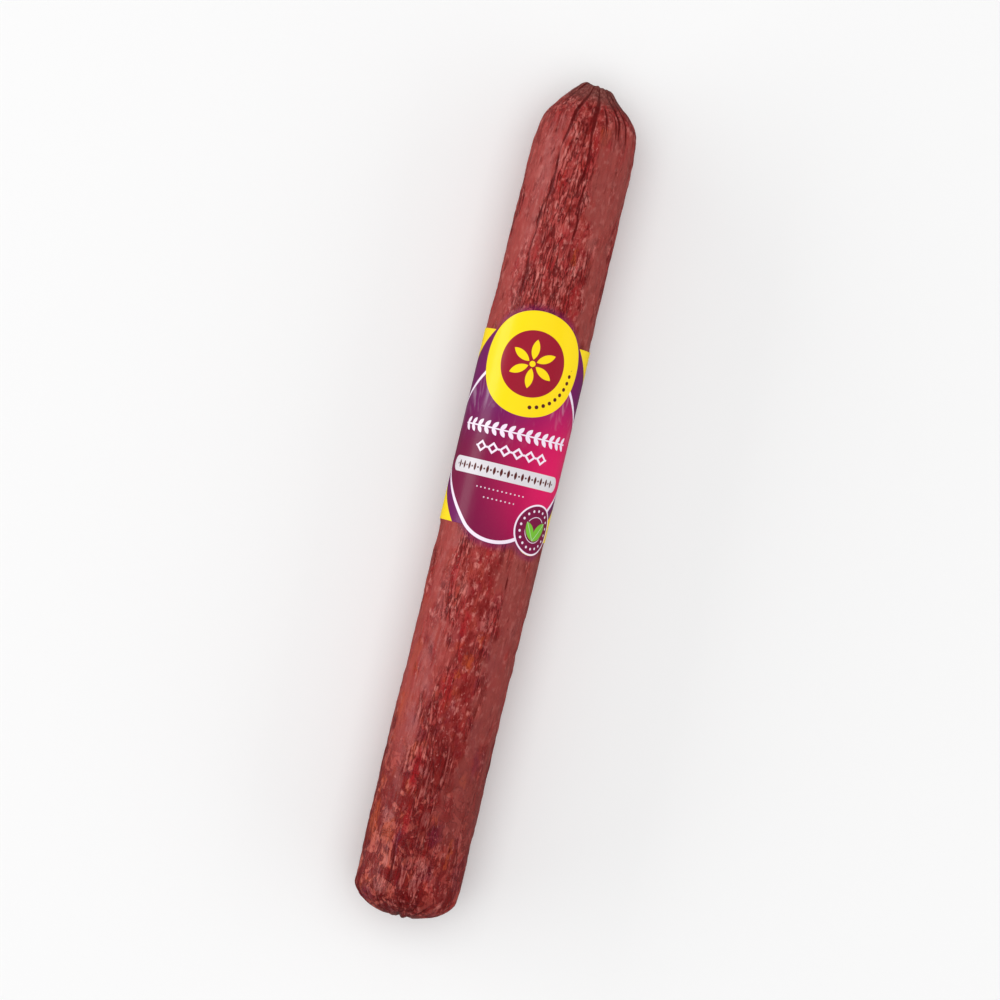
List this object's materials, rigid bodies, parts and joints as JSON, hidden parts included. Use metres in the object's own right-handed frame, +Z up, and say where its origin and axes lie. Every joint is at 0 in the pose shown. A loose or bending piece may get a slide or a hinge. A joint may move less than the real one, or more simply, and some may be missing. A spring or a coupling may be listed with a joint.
{
  "type": "dry cured sausage stick",
  "caption": "Straight dry sausage in a tight wrinkled casing, pleated at its pointed end and its domed end, with a film label wrapped round its middle and a crimped metal clip closing each end.",
  "frame": {"origin": "under the middle of the stick's length, on the surface it lies on", "axes": "+X runs along the stick towards its pointed, gathered end; +Y is across the stick; +Z is up, through the front of the label"},
  "size_m": [0.272, 0.0344, 0.0334],
  "materials": {
    "meat_casing": "clear casing shrunk on mottled maroon meat with pale flecks of fat, glossy over fine lengthwise wrinkles",
    "label_film": null,
    "clip_metal": "satin drawn wire, crimped"
  },
  "bodies": {
    "root": {"salami_body": "meat_casing", "label_wrap": "label_film", "gathered_end_clip": "clip_metal", "blunt_end_clip": "clip_metal"}
  },
  "joints": []
}
